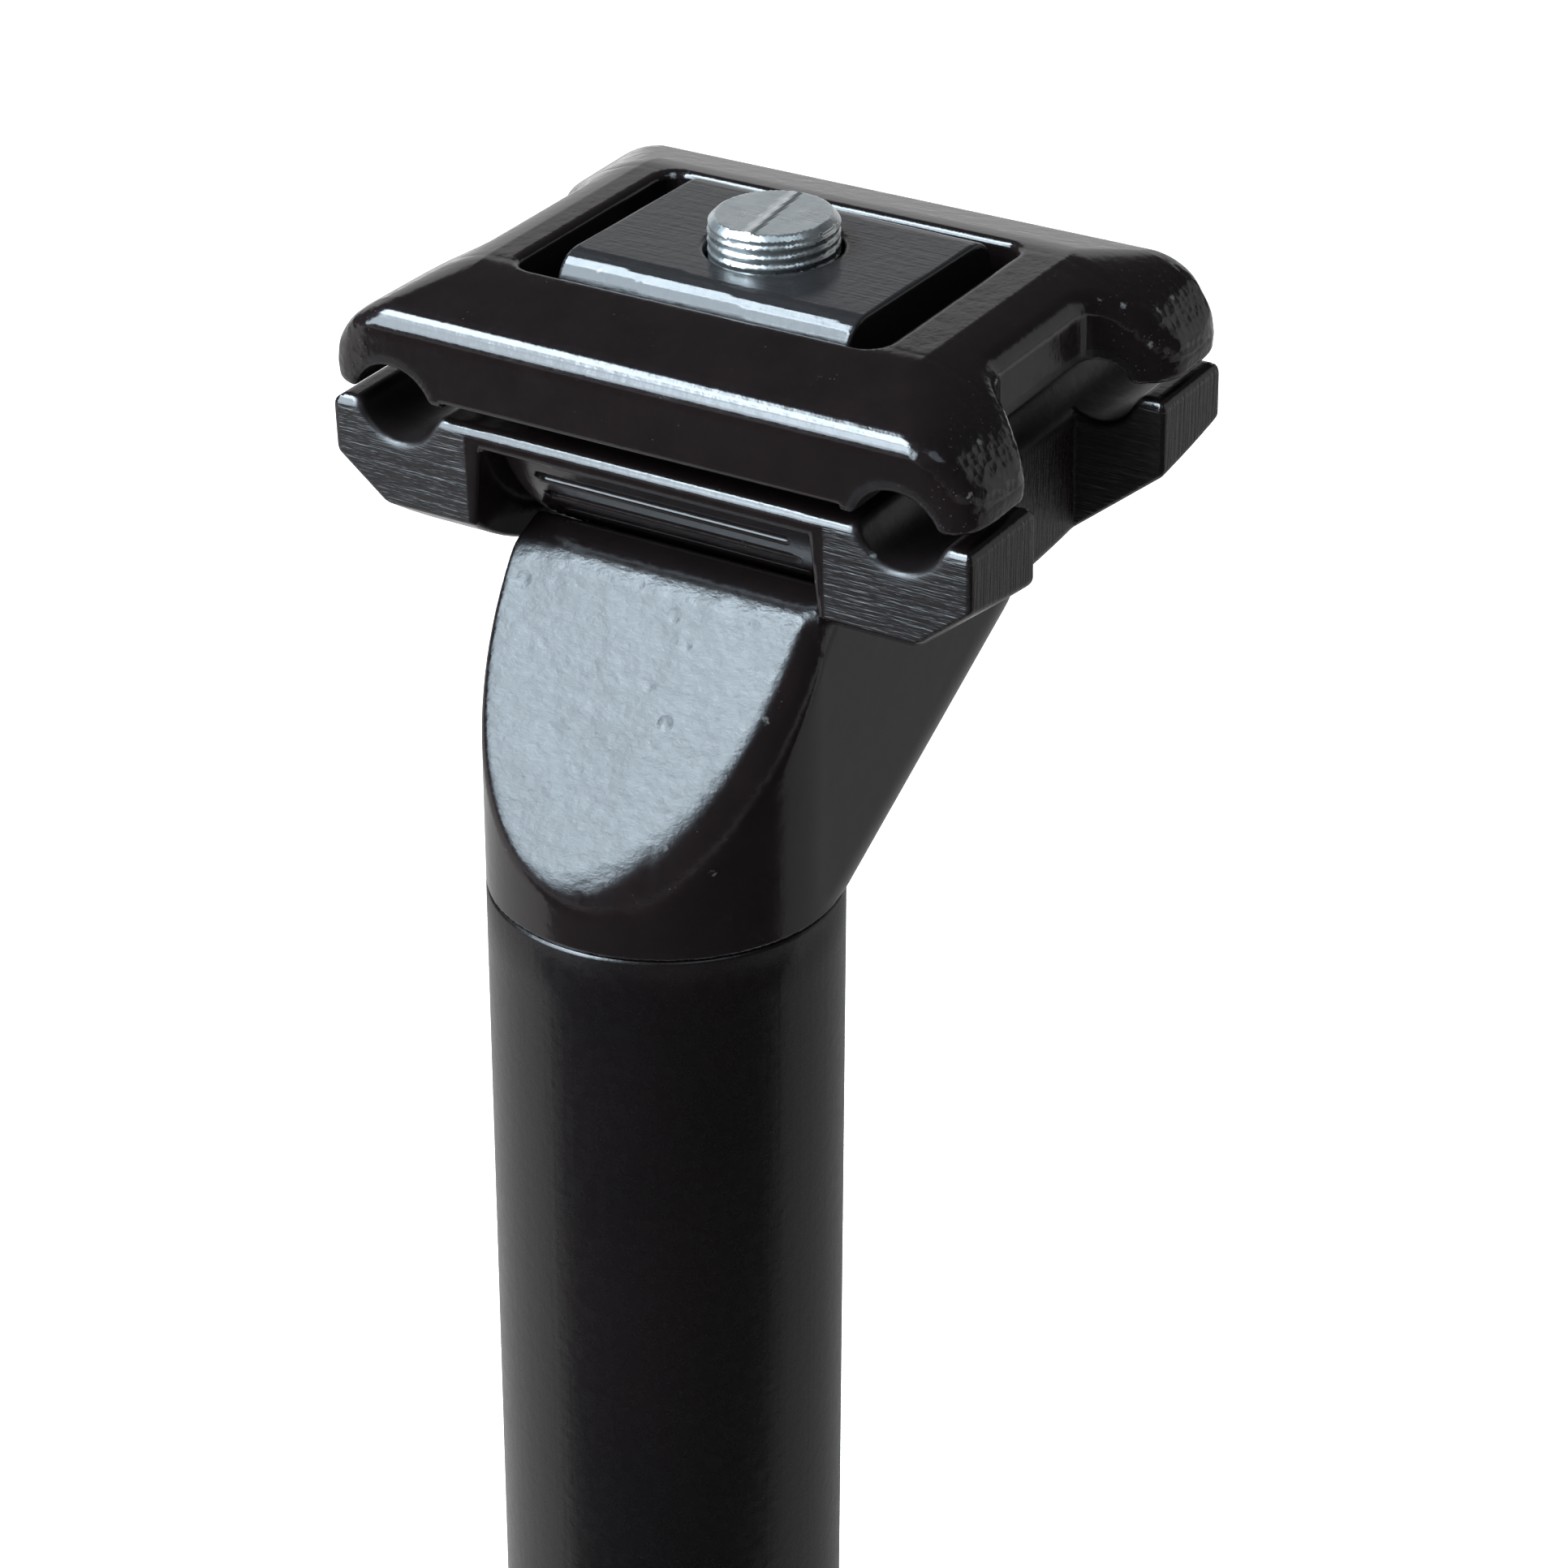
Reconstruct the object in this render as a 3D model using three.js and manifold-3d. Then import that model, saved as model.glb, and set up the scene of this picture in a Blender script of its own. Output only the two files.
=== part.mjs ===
// Telescoping suspension seatpost with a set-back forged head and a two-piece saddle rail clamp.
// Millimetres, +Z up the post, +X towards the front of the bicycle.
// The origin is on the post's axis, at the bottom end of the outer tube.
import * as THREE from "three";
import { mergeVertices } from "three/addons/utils/BufferGeometryUtils.js";
import Module from "manifold-3d";

const wasm = await Module();
wasm.setup();

// ---- driving dimensions ----
const SIDES = 48;                 // facets round every turned piece
const TRAVEL = 50;                // suspension stroke
const SEAM_Z = 320;               // joint between the sliding tube and the forged head

const OUTER_R = 15.8;             // 31.6 mm outer tube
const OUTER_BORE_R = 14.4;
const HEAD_BORE_R = 14.7;         // wider bore above the stop step
const STEP_Z = 178;
const SHOULDER_Z = 226;
const SHOULDER_R = 18.2;
const THREAD_R = 16.8;
const OUTER_TOP_Z = 240;

const COLLAR_R = 19.6;
const COLLAR_BOTTOM_Z = 227.4;
const COLLAR_TOP_Z = 246;

const POST_R = 13.6;              // 27.2 mm sliding tube
const POST_BORE_R = 11.5;
const POST_FOOT_Z = 151;
const FOOT_R = 13.0;              // reduced seat of the lower bushing
const FOOT_STEP_Z = 171;

const KEY_ANGLES = [135, 225];    // keys sit towards the rear, left and right
const KEY_WIDTH = 3.2;
const KEY_Z = [182, 194];
const KEYWAY_WIDTH = 3.8;
const KEYWAY_FLOOR_R = 12.4;

const SPRING_MEAN_R = 11.2;
const SPRING_WIRE_R = 1.8;
const SPRING_TURNS = 15.5;
const SPRING_Z = [22, 146];

const CLAMP_X = -15.6;            // setback of the rail clamp
const CLAMP_Z = SEAM_Z + 35.4;    // height of the saddle rails
const CLAMP_TILT = THREE.MathUtils.degToRad(2.7);
const TILT_CENTRE_W = 4.76;       // axis of the curved seat, above the rails
const BELLY_R = 18.7;             // cradle's curved belly
const TROUGH_R = 19.1;            // head's curved trough
const WEB_R = 25.8;               // lower face of the head's web
const LAND_W = -10.4;             // flat lands at the two ends of the trough
const LAND_U = 15.9;

const RAIL_V = 21.5;              // rails are 43 mm apart
const GROOVE_R = 3.55;            // for 7 mm rails
const GROOVE_SHIFT = 0.4;         // the clamp is shown closed, without rails

const PLATE_U = 19.3;
const PLATE_V = 27.9;
const PLATE_TOP_W = 9.5;
const CREST_W = 7.2;
const WINDOW_U = 10.6;
const WINDOW_V = 15.6;
const WINDOW_FLOOR_W = 4.3;

const BAR_U = 9.9;
const BAR_V = 12.7;
const BAR_TOP_W = 10.1;
const BAR_YAW = THREE.MathUtils.degToRad(-1.5);   // the bar lies slightly askew in its window

const CRADLE_U = 18.7;
const CRADLE_V = 27.4;
const CRADLE_TOP_W = -0.45;
const LUG_INNER_U = 9.6;
const SKIRT_V = [14.5, 20];
const CHAMFER_W = -6.9;           // height at which the lower chamfer meets the side, mid-length
const CHAMFER_SLOPE = 0.8;

const BOLT_R = 4.96;
const BOLT_TIP_W = 12.7;

// ---- materials ----
const finish = (color, roughness, metalness) => new THREE.MeshStandardMaterial({ color, roughness, metalness });
const FORGED_BLACK = finish(0x0d0b0c, 0.25, 0.3);
const TUBE_BLACK = finish(0x141112, 0.4, 0.4);
const ZINC = finish(0xb9bdc0, 0.35, 1.0);
const SPRING_STEEL = finish(0x30343a, 0.35, 0.9);
const STEEL = finish(0x7d8288, 0.35, 1.0);
const RUBBER = finish(0x121212, 0.85, 0.0);
const ACETAL = finish(0x1d1e20, 0.5, 0.0);
const ELASTOMER = finish(0x8a5a28, 0.6, 0.0);

// ---- turning geometry into solids and back ----
function toSolid(geometry) {
  const bare = geometry.clone();
  bare.deleteAttribute("normal");
  bare.deleteAttribute("uv");
  const merged = mergeVertices(bare, 1e-4);
  const position = merged.attributes.position.array;
  const index = Uint32Array.from(merged.index.array);
  const kept = [];
  for (let i = 0; i < index.length; i += 3) {
    const [a, b, c] = [index[i], index[i + 1], index[i + 2]];
    if (a !== b && b !== c && a !== c) {
      kept.push(a, b, c);
    }
  }
  const triVerts = Uint32Array.from(kept);
  if (signedVolume(position, triVerts) < 0) {
    for (let i = 0; i < triVerts.length; i += 3) {
      [triVerts[i + 1], triVerts[i + 2]] = [triVerts[i + 2], triVerts[i + 1]];
    }
  }
  const mesh = new wasm.Mesh({ numProp: 3, vertProperties: Float32Array.from(position), triVerts });
  return new wasm.Manifold(mesh);
}

function signedVolume(position, triVerts) {
  const [a, b, c] = [new THREE.Vector3(), new THREE.Vector3(), new THREE.Vector3()];
  let volume = 0;
  for (let i = 0; i < triVerts.length; i += 3) {
    a.fromArray(position, 3 * triVerts[i]);
    b.fromArray(position, 3 * triVerts[i + 1]);
    c.fromArray(position, 3 * triVerts[i + 2]);
    volume += a.dot(b.cross(c)) / 6;
  }
  return volume;
}

function toGeometry(solid) {
  const mesh = solid.getMesh();
  const geometry = new THREE.BufferGeometry();
  const stride = mesh.numProp;
  const points = new Float32Array((mesh.vertProperties.length / stride) * 3);
  for (let i = 0; i < points.length / 3; i += 1) {
    points[3 * i] = mesh.vertProperties[stride * i];
    points[3 * i + 1] = mesh.vertProperties[stride * i + 1];
    points[3 * i + 2] = mesh.vertProperties[stride * i + 2];
  }
  geometry.setAttribute("position", new THREE.BufferAttribute(points, 3));
  geometry.setIndex(new THREE.BufferAttribute(Uint32Array.from(mesh.triVerts), 1));
  geometry.computeVertexNormals();
  return geometry;
}

// ---- basic shapes ----
function turned(profile, sides = SIDES) {
  const closed = [...profile, profile[0]].map(([r, z]) => new THREE.Vector2(r, z));
  return new THREE.LatheGeometry(closed, sides).rotateX(Math.PI / 2);
}

function ring(innerR, outerR, lowZ, highZ, sides = SIDES) {
  return turned([[innerR, lowZ], [outerR, lowZ], [outerR, highZ], [innerR, highZ]], sides);
}

function rod(radius, lowZ, highZ, sides = SIDES) {
  const height = highZ - lowZ;
  const geometry = new THREE.CylinderGeometry(radius, radius, height, sides).rotateX(Math.PI / 2);
  return geometry.translate(0, 0, lowZ + height / 2);
}

function block(lowX, highX, lowY, highY, lowZ, highZ) {
  const geometry = new THREE.BoxGeometry(highX - lowX, highY - lowY, highZ - lowZ);
  return geometry.translate((lowX + highX) / 2, (lowY + highY) / 2, (lowZ + highZ) / 2);
}

// Corners are [x, y] or [x, y, radius]; a radius turns the corner into an arc of a few points.
function outline(corners, steps = 4) {
  const points = [];
  corners.forEach(([x, y, radius = 0], i) => {
    const here = new THREE.Vector2(x, y);
    if (radius === 0) {
      points.push(here);
      return;
    }
    const before = corners[(i + corners.length - 1) % corners.length];
    const after = corners[(i + 1) % corners.length];
    const inward = new THREE.Vector2(before[0] - x, before[1] - y).normalize();
    const outward = new THREE.Vector2(after[0] - x, after[1] - y).normalize();
    const half = Math.acos(THREE.MathUtils.clamp(inward.dot(outward), -1, 1)) / 2;
    const reach = radius / Math.tan(half);
    const middle = inward.clone().add(outward).normalize().multiplyScalar(radius / Math.sin(half)).add(here);
    const start = inward.clone().multiplyScalar(reach).add(here).sub(middle);
    const end = outward.clone().multiplyScalar(reach).add(here).sub(middle);
    const sweep = Math.atan2(start.cross(end), start.dot(end));
    for (let k = 0; k <= steps; k += 1) {
      points.push(start.clone().rotateAround(new THREE.Vector2(), (sweep * k) / steps).add(middle));
    }
  });
  return points;
}

function arcPoints(centreX, centreY, radius, fromDeg, toDeg, steps) {
  const points = [];
  for (let k = 0; k <= steps; k += 1) {
    const angle = THREE.MathUtils.degToRad(fromDeg + ((toDeg - fromDeg) * k) / steps);
    points.push(new THREE.Vector2(centreX + radius * Math.cos(angle), centreY + radius * Math.sin(angle)));
  }
  return points;
}

function extruded(points, low, high) {
  const geometry = new THREE.ExtrudeGeometry(new THREE.Shape(points), { depth: high - low, bevelEnabled: false });
  return geometry.translate(0, 0, low);
}

// The outline's x and y become X and Z, and it is extruded along Y.
function alongY(points, low, high) {
  return extruded(points, -high, -low).rotateX(Math.PI / 2);
}

// The outline's x and y become Y and Z, and it is extruded along X.
function alongX(points, low, high) {
  const turn = new THREE.Matrix4().makeBasis(
    new THREE.Vector3(0, 1, 0),
    new THREE.Vector3(0, 0, 1),
    new THREE.Vector3(1, 0, 0),
  );
  return extruded(points, low, high).applyMatrix4(turn);
}

function alongZ(points, low, high) {
  return extruded(points, low, high);
}

function union(...geometries) {
  return geometries.map(toSolid).reduce((all, next) => all.add(next));
}

function cut(solid, ...geometries) {
  return geometries.map(toSolid).reduce((left, next) => left.subtract(next), solid);
}

function hexagon(acrossFlats) {
  return arcPoints(0, 0, acrossFlats / Math.sqrt(3), 0, 300, 5);
}

const part = new THREE.Group();

function addTo(group, name, geometry, material) {
  const mesh = new THREE.Mesh(geometry, material);
  mesh.name = name;
  group.add(mesh);
  return mesh;
}

// ---- outer tube and what is fixed in it ----
function outerTube() {
  const profile = [
    [OUTER_R - 0.4, 0], [OUTER_R, 0.8], [OUTER_R, 212], [SHOULDER_R, 217], [SHOULDER_R, SHOULDER_Z],
    [THREAD_R, SHOULDER_Z], [THREAD_R, OUTER_TOP_Z - 0.8], [THREAD_R - 0.8, OUTER_TOP_Z], [HEAD_BORE_R, OUTER_TOP_Z],
    [HEAD_BORE_R, STEP_Z], [OUTER_BORE_R, STEP_Z], [OUTER_BORE_R, 3], [15, 3], [15, 1.4],
    [OUTER_BORE_R, 1.4], [OUTER_BORE_R, 0],
  ];
  return turned(profile);
}

function collarNut() {
  const profile = [
    [THREAD_R + 0.1, COLLAR_BOTTOM_Z], [COLLAR_R - 0.8, COLLAR_BOTTOM_Z], [COLLAR_R, COLLAR_BOTTOM_Z + 0.8],
    [COLLAR_R, COLLAR_TOP_Z - 3], [COLLAR_R - 2, COLLAR_TOP_Z], [16.5, COLLAR_TOP_Z], [16.5, 243],
    [13.9, 243], [13.9, 241], [THREAD_R + 0.1, 241],
  ];
  return turned(profile);
}

function wiperSeal() {
  const profile = [
    [POST_R + 0.05, 243], [16.45, 243], [16.45, 245.8], [15.2, 246.2], [14.4, 247.2], [POST_R + 0.05, 247.2],
  ];
  return turned(profile);
}

function stopSleeve() {
  const windows = KEY_ANGLES.map((angle) => {
    const opening = block(12, 16, -KEYWAY_WIDTH / 2, KEYWAY_WIDTH / 2, KEY_Z[0] - 0.3, KEY_Z[1] + 0.3);
    return opening.rotateZ(THREE.MathUtils.degToRad(angle));
  });
  return toGeometry(cut(toSolid(ring(13.85, HEAD_BORE_R - 0.05, STEP_Z, 209.8)), ...windows));
}

function slidingKey(angle) {
  const body = block(KEYWAY_FLOOR_R + 0.3, 14.35, -KEY_WIDTH / 2, KEY_WIDTH / 2, KEY_Z[0], KEY_Z[1]);
  return body.rotateZ(THREE.MathUtils.degToRad(angle));
}

function retainingRing() {
  const gap = block(10, 16, -3.5, 3.5, 0, 4);
  return toGeometry(cut(toSolid(ring(12.6, 14.9, 1.6, 2.8)), gap));
}

const casing = new THREE.Group();
part.add(casing);
addTo(casing, "outer_tube", outerTube(), TUBE_BLACK);
addTo(casing, "collar_nut", collarNut(), FORGED_BLACK);
addTo(casing, "wiper_seal", wiperSeal(), RUBBER);
addTo(casing, "collar_o_ring", ring(16.9, 18.0, SHOULDER_Z, COLLAR_BOTTOM_Z), RUBBER);
addTo(casing, "upper_bushing", ring(POST_R + 0.05, HEAD_BORE_R - 0.05, 210, 240.8), ACETAL);
addTo(casing, "stop_sleeve", stopSleeve(), STEEL);
addTo(casing, "slide_key_right", slidingKey(KEY_ANGLES[0]), STEEL);
addTo(casing, "slide_key_left", slidingKey(KEY_ANGLES[1]), STEEL);
addTo(casing, "plug_retaining_ring", retainingRing(), SPRING_STEEL);

// ---- preload screw and spring stack ----
function preloadPlug() {
  const profile = [
    [0, 3.2], [OUTER_BORE_R - 0.8, 3.2], [OUTER_BORE_R - 0.2, 3.8], [OUTER_BORE_R - 0.2, 14.2], [12.8, 14.2],
    [12.8, 16.2], [OUTER_BORE_R - 0.2, 16.2], [OUTER_BORE_R - 0.2, 19.8], [3.1, 19.8], [3.1, 12.5], [0, 12.5],
  ];
  return toGeometry(cut(toSolid(turned(profile)), alongZ(hexagon(8), 1, 10)));
}

class SpringPath extends THREE.Curve {
  getPoint(t, target = new THREE.Vector3()) {
    const low = SPRING_Z[0] + SPRING_WIRE_R + 0.05;
    const high = SPRING_Z[1] - SPRING_WIRE_R - 0.05;
    const endCoil = 1 / SPRING_TURNS;
    const endRise = 2.05 * SPRING_WIRE_R;
    const middle = (t - endCoil) / (1 - 2 * endCoil);
    let z = low + endRise + middle * (high - low - 2 * endRise);
    if (t < endCoil) {
      z = low + (endRise * t) / endCoil;
    }
    if (t > 1 - endCoil) {
      z = high - (endRise * (1 - t)) / endCoil;
    }
    const angle = 2 * Math.PI * SPRING_TURNS * t;
    return target.set(SPRING_MEAN_R * Math.cos(angle), SPRING_MEAN_R * Math.sin(angle), z);
  }
}

function mainSpring() {
  const section = new THREE.Shape(arcPoints(0, 0, SPRING_WIRE_R, 0, 315, 7));
  const steps = Math.round(SPRING_TURNS * 12);
  const geometry = new THREE.ExtrudeGeometry(section, { steps, extrudePath: new SpringPath(), bevelEnabled: false });
  return toGeometry(toSolid(geometry));
}

const preload = new THREE.Group();
part.add(preload);
addTo(preload, "preload_plug", preloadPlug(), STEEL);
addTo(preload, "plug_o_ring", ring(12.9, OUTER_BORE_R - 0.05, 14.4, 16), RUBBER);
addTo(preload, "guide_pin", rod(3, 12.6, 82, 24), STEEL);
addTo(preload, "lower_spring_washer", ring(6.5, 13.6, 20, SPRING_Z[0], 32), STEEL);
addTo(preload, "bottom_out_bumper", ring(3.2, 8.4, SPRING_Z[0] + 0.1, 84, 24), ELASTOMER);
addTo(preload, "main_spring", mainSpring(), SPRING_STEEL);

// ---- sliding tube and its foot ----
function stanchion() {
  const profile = [
    [POST_BORE_R, POST_FOOT_Z], [FOOT_R, POST_FOOT_Z], [FOOT_R, FOOT_STEP_Z], [POST_R, FOOT_STEP_Z],
    [POST_R, SEAM_Z], [POST_BORE_R, SEAM_Z],
  ];
  const keyways = KEY_ANGLES.map((angle) => {
    const lowZ = KEY_Z[0] - 0.7;
    const highZ = KEY_Z[1] + TRAVEL + 1.3;
    const groove = block(KEYWAY_FLOOR_R, 16, -KEYWAY_WIDTH / 2, KEYWAY_WIDTH / 2, lowZ, highZ);
    return groove.rotateZ(THREE.MathUtils.degToRad(angle));
  });
  return toGeometry(cut(toSolid(turned(profile)), ...keyways));
}

function footPlug() {
  const profile = [
    [3, 141], [6.4, 141], [7, 142], [7, 147.4], [14, 147.4], [14, POST_FOOT_Z],
    [POST_BORE_R - 0.1, POST_FOOT_Z], [POST_BORE_R - 0.1, 172], [3, 172],
  ];
  return turned(profile);
}

// The head's side outline, in X and height above the seam.
const HEAD_SIDE = [
  [POST_R, 0], [POST_R, 4.6, 1.5], [-0.2, 24.3, 0.8], [-32.0, 25.8, 1.5], [-34.0, 20, 4], [-33.0, 12.8, 3.5],
  [-POST_R, 1.3], [-POST_R, 0],
];
const NECK_SLOPE = (12.8 - 1.3) / (33 - POST_R);   // the underside's rise per millimetre rearwards
const NECK_ROUND = 6.5;                            // rounding along the underside's two edges

function seatHead() {
  const sideways = alongY(outline(HEAD_SIDE), -16, 16).translate(0, 0, SEAM_Z);
  const front = arcPoints(0, 0, POST_R, -90, 90, SIDES / 2);
  const rear = outline([[-6, 13.4], [-34.4, 13.2, 6], [-34.4, -13.2, 6], [-6, -13.4]], 6);
  const plan = alongZ([...front, ...rear], SEAM_Z, SEAM_Z + 30);
  let solid = toSolid(sideways).intersect(toSolid(plan)).intersect(toSolid(neckSection()));
  const collar = alongZ(arcPoints(0, 0, POST_R, 0, 352.5, SIDES - 1), SEAM_Z, SEAM_Z + 30);
  solid = solid.add(toSolid(collar).intersect(toSolid(sideways)));
  solid = solid.add(toSolid(rod(POST_BORE_R - 0.1, SEAM_Z - 22, SEAM_Z + 2)));
  return toGeometry(cut(solid, ...headCuts()));
}

// A trough-shaped prism lying along the underside of the neck.
function neckSection() {
  const section = outline([[13.4, 0, NECK_ROUND], [13.4, 60], [-13.4, 60], [-13.4, 0, NECK_ROUND]], 5);
  const prism = alongX(section, -60, 40).rotateY(Math.atan(NECK_SLOPE));
  return prism.translate(-POST_R, 0, SEAM_Z + 1.3);
}

// Everything here is set out in the clamp's own frame and then moved onto the head.
function headCuts() {
  const centre = [0, TILT_CENTRE_W];
  const slotHalfLength = 10.2;
  const slotHalfWidth = 5.6;
  const trough = alongY(arcPoints(...centre, TROUGH_R, 0, 350, 60), -16, 16);
  const webArc = arcPoints(...centre, WEB_R, -56, -121, 18);
  const pocketSide = [...webArc, new THREE.Vector2(-24, -17.5), new THREE.Vector2(-24, -40)];
  const pocketFront = [new THREE.Vector2(12.6, -40), new THREE.Vector2(14.5, -30)];
  const pocket = alongY([...pocketSide, ...pocketFront], -8.7, 8.7);
  const slot = alongZ(
    outline([
      [slotHalfLength, slotHalfWidth, 5.5],
      [-slotHalfLength, slotHalfWidth, 5.5],
      [-slotHalfLength, -slotHalfWidth, 5.5],
      [slotHalfLength, -slotHalfWidth, 5.5],
    ]),
    -24,
    0,
  );
  const floor = toSolid(block(-60, 40, -30, 30, SEAM_Z + 1.7, SEAM_Z + 60));
  const cutters = [trough, pocket, slot].map((geometry) => toSolid(toClamp(geometry)).intersect(floor));
  return cutters.map(toGeometry);
}

function toClamp(geometry) {
  return geometry.rotateY(CLAMP_TILT).translate(CLAMP_X, 0, CLAMP_Z);
}

const slider = new THREE.Group();
part.add(slider);
addTo(slider, "stanchion", stanchion(), TUBE_BLACK);
addTo(slider, "seat_head", seatHead(), FORGED_BLACK);
addTo(slider, "lower_bushing", ring(FOOT_R + 0.05, 14.3, POST_FOOT_Z + 0.2, FOOT_STEP_Z), ACETAL);
addTo(slider, "top_out_bumper", ring(POST_R + 0.05, 14.25, FOOT_STEP_Z, STEP_Z - 0.4), RUBBER);
addTo(slider, "foot_plug", footPlug(), STEEL);
addTo(slider, "upper_spring_washer", ring(7.2, 13.4, SPRING_Z[1], 147.2, 32), STEEL);

// ---- rail clamp, in its own tilted frame: x along the rails, y across, z away from the post ----
const clamp = new THREE.Group();
clamp.position.set(CLAMP_X, 0, CLAMP_Z);
clamp.rotation.y = CLAMP_TILT;
part.add(clamp);

function railGrooves(shift) {
  return [-RAIL_V, RAIL_V].map((v) => alongX(arcPoints(v, shift, GROOVE_R, 0, 342, 19), -30, 30));
}

function boatArc(radius, lowest) {
  const reach = THREE.MathUtils.radToDeg(Math.asin(CRADLE_U / radius));
  return arcPoints(0, lowest + radius, radius, -90 - reach, -90 + reach, 12);
}

// The lower outer edges are cut by a surface that leans outwards and is slightly bowed along the rails.
function bowedChamfer(side) {
  const top = [new THREE.Vector2(CRADLE_U + 0.1, 90), new THREE.Vector2(-CRADLE_U - 0.1, 90)];
  const profile = [...boatArc(94, 0), ...top];
  const lean = Math.atan(CHAMFER_SLOPE);
  const shape = alongY(profile, -60, 60).rotateX(side * lean);
  return shape.translate(0, side * CRADLE_V, CHAMFER_W);
}

function lowerCradle() {
  const side = [...boatArc(30, -14.9), new THREE.Vector2(CRADLE_U, CRADLE_TOP_W), new THREE.Vector2(-CRADLE_U, CRADLE_TOP_W)];
  const crossed = outline([
    [SKIRT_V[0] + 1.2, -14], [CRADLE_V, -14], [CRADLE_V, CRADLE_TOP_W, 0.6],
    [SKIRT_V[0] - 1, CRADLE_TOP_W], [SKIRT_V[0] - 0.4, -2.2],
  ]);
  const mirrored = crossed.map((p) => new THREE.Vector2(-p.x, p.y)).reverse();
  let skirts = union(alongX(crossed, -30, 30), alongX(mirrored, -30, 30)).intersect(toSolid(alongY(side, -30, 30)));
  skirts = skirts.intersect(toSolid(bowedChamfer(1))).intersect(toSolid(bowedChamfer(-1)));
  const recesses = [-1, 1].map((s) => {
    const [near, far] = s > 0 ? [SKIRT_V[1], 30] : [-30, -SKIRT_V[1]];
    return block(-LUG_INNER_U, LUG_INNER_U, near, far, -20, 2);
  });
  const chord = THREE.MathUtils.radToDeg(Math.asin((TILT_CENTRE_W - CRADLE_TOP_W) / BELLY_R));
  const belly = alongY(arcPoints(0, TILT_CENTRE_W, BELLY_R, 180 + chord, 360 - chord, 28), -12.4, 12.4);
  const deck = block(-CRADLE_U, CRADLE_U, -15, 15, -2.2, CRADLE_TOP_W);
  const solid = skirts.add(toSolid(belly)).add(toSolid(deck));
  return toGeometry(cut(solid, ...recesses, ...railGrooves(GROOVE_SHIFT), rod(5.35, -20, 5, 24)));
}

function upperClampPlate() {
  const side = outline([
    [PLATE_U, 0.7, 0.8], [PLATE_U + 0.1, CREST_W, 1.6], [10.5, PLATE_TOP_W, 8], [-10.5, PLATE_TOP_W, 8],
    [-PLATE_U - 0.1, CREST_W, 1.6], [-PLATE_U, 0.7, 0.8],
  ], 3);
  const cross = outline([
    [27.2, 0.7, 0.8], [PLATE_V, 2.4, 1.2], [27.2, 4.6, 2], [21.6, PLATE_TOP_W + 0.1, 3],
    [-21.6, PLATE_TOP_W + 0.1, 3], [-27.2, 4.6, 2], [-PLATE_V, 2.4, 1.2], [-27.2, 0.7, 0.8],
  ], 3);
  const plan = outline([
    [PLATE_U + 0.2, -PLATE_V - 0.1, 4], [PLATE_U + 0.2, PLATE_V + 0.1, 4], [11.2, PLATE_V + 0.1, 1.6],
    [7.4, 21.8, 3], [-7.4, 21.8, 3], [-11.2, PLATE_V + 0.1, 1.6], [-PLATE_U - 0.2, PLATE_V + 0.1, 4],
    [-PLATE_U - 0.2, -PLATE_V - 0.1, 4], [-11.2, -PLATE_V - 0.1, 1.6], [-7.4, -21.8, 3], [7.4, -21.8, 3],
    [11.2, -PLATE_V - 0.1, 1.6],
  ], 4);
  let solid = toSolid(alongY(side, -32, 32));
  solid = solid.intersect(toSolid(alongX(cross, -32, 32)));
  solid = solid.intersect(toSolid(alongZ(plan, -5, 15)));
  const window = alongZ(
    outline([[WINDOW_U, -WINDOW_V, 1.6], [WINDOW_U, WINDOW_V, 1.6], [-WINDOW_U, WINDOW_V, 1.6], [-WINDOW_U, -WINDOW_V, 1.6]]),
    WINDOW_FLOOR_W,
    15,
  );
  const relief = block(-25, 25, -17, 17, -2, 1.15);
  return toGeometry(cut(solid, window, relief, ...railGrooves(-GROOVE_SHIFT), rod(5.5, -5, 8, 24)));
}

function nutBar() {
  const low = WINDOW_FLOOR_W + 0.3;
  const side = outline([
    [BAR_U, low, 0.5], [BAR_U, 7.1, 1.6], [6.9, BAR_TOP_W, 1.8], [-6.9, BAR_TOP_W, 1.8], [-BAR_U, 7.1, 1.6],
    [-BAR_U, low, 0.5],
  ]);
  const bar = alongY(side, -BAR_V, BAR_V).rotateZ(BAR_YAW);
  return toGeometry(cut(toSolid(bar), rod(5.3, 0, 15, 24)));
}

function clampBolt() {
  const profile = [
    [0, -31.9], [7.2, -31.9], [7.8, -31.3], [7.8, -26.4], [BOLT_R, -26.4], [BOLT_R, BOLT_TIP_W - 0.45],
    [BOLT_R - 0.45, BOLT_TIP_W], [0, BOLT_TIP_W],
  ];
  return toGeometry(cut(toSolid(turned(profile, 24)), alongZ(hexagon(6), -33, -28.4)));
}

function saddleWasher() {
  const reach = THREE.MathUtils.radToDeg(Math.asin(7.9 / (WEB_R + 0.3)));
  const top = arcPoints(0, TILT_CENTRE_W, WEB_R + 0.3, -90 - reach, -90 + reach, 8);
  const side = [...top, new THREE.Vector2(7.9, -24.5), new THREE.Vector2(-7.9, -24.5)];
  return toGeometry(cut(toSolid(alongY(side, -8, 8)), rod(5.4, -30, -10, 24)));
}

addTo(clamp, "lower_cradle", lowerCradle(), FORGED_BLACK);
addTo(clamp, "upper_clamp_plate", upperClampPlate(), FORGED_BLACK);
addTo(clamp, "clamp_nut_bar", nutBar(), FORGED_BLACK);
addTo(clamp, "clamp_bolt", clampBolt(), ZINC);
addTo(clamp, "saddle_washer", saddleWasher(), STEEL);
addTo(clamp, "bolt_washer", ring(5.4, 8, -26.1, -24.8, 24), ZINC);

export default part;
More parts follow.
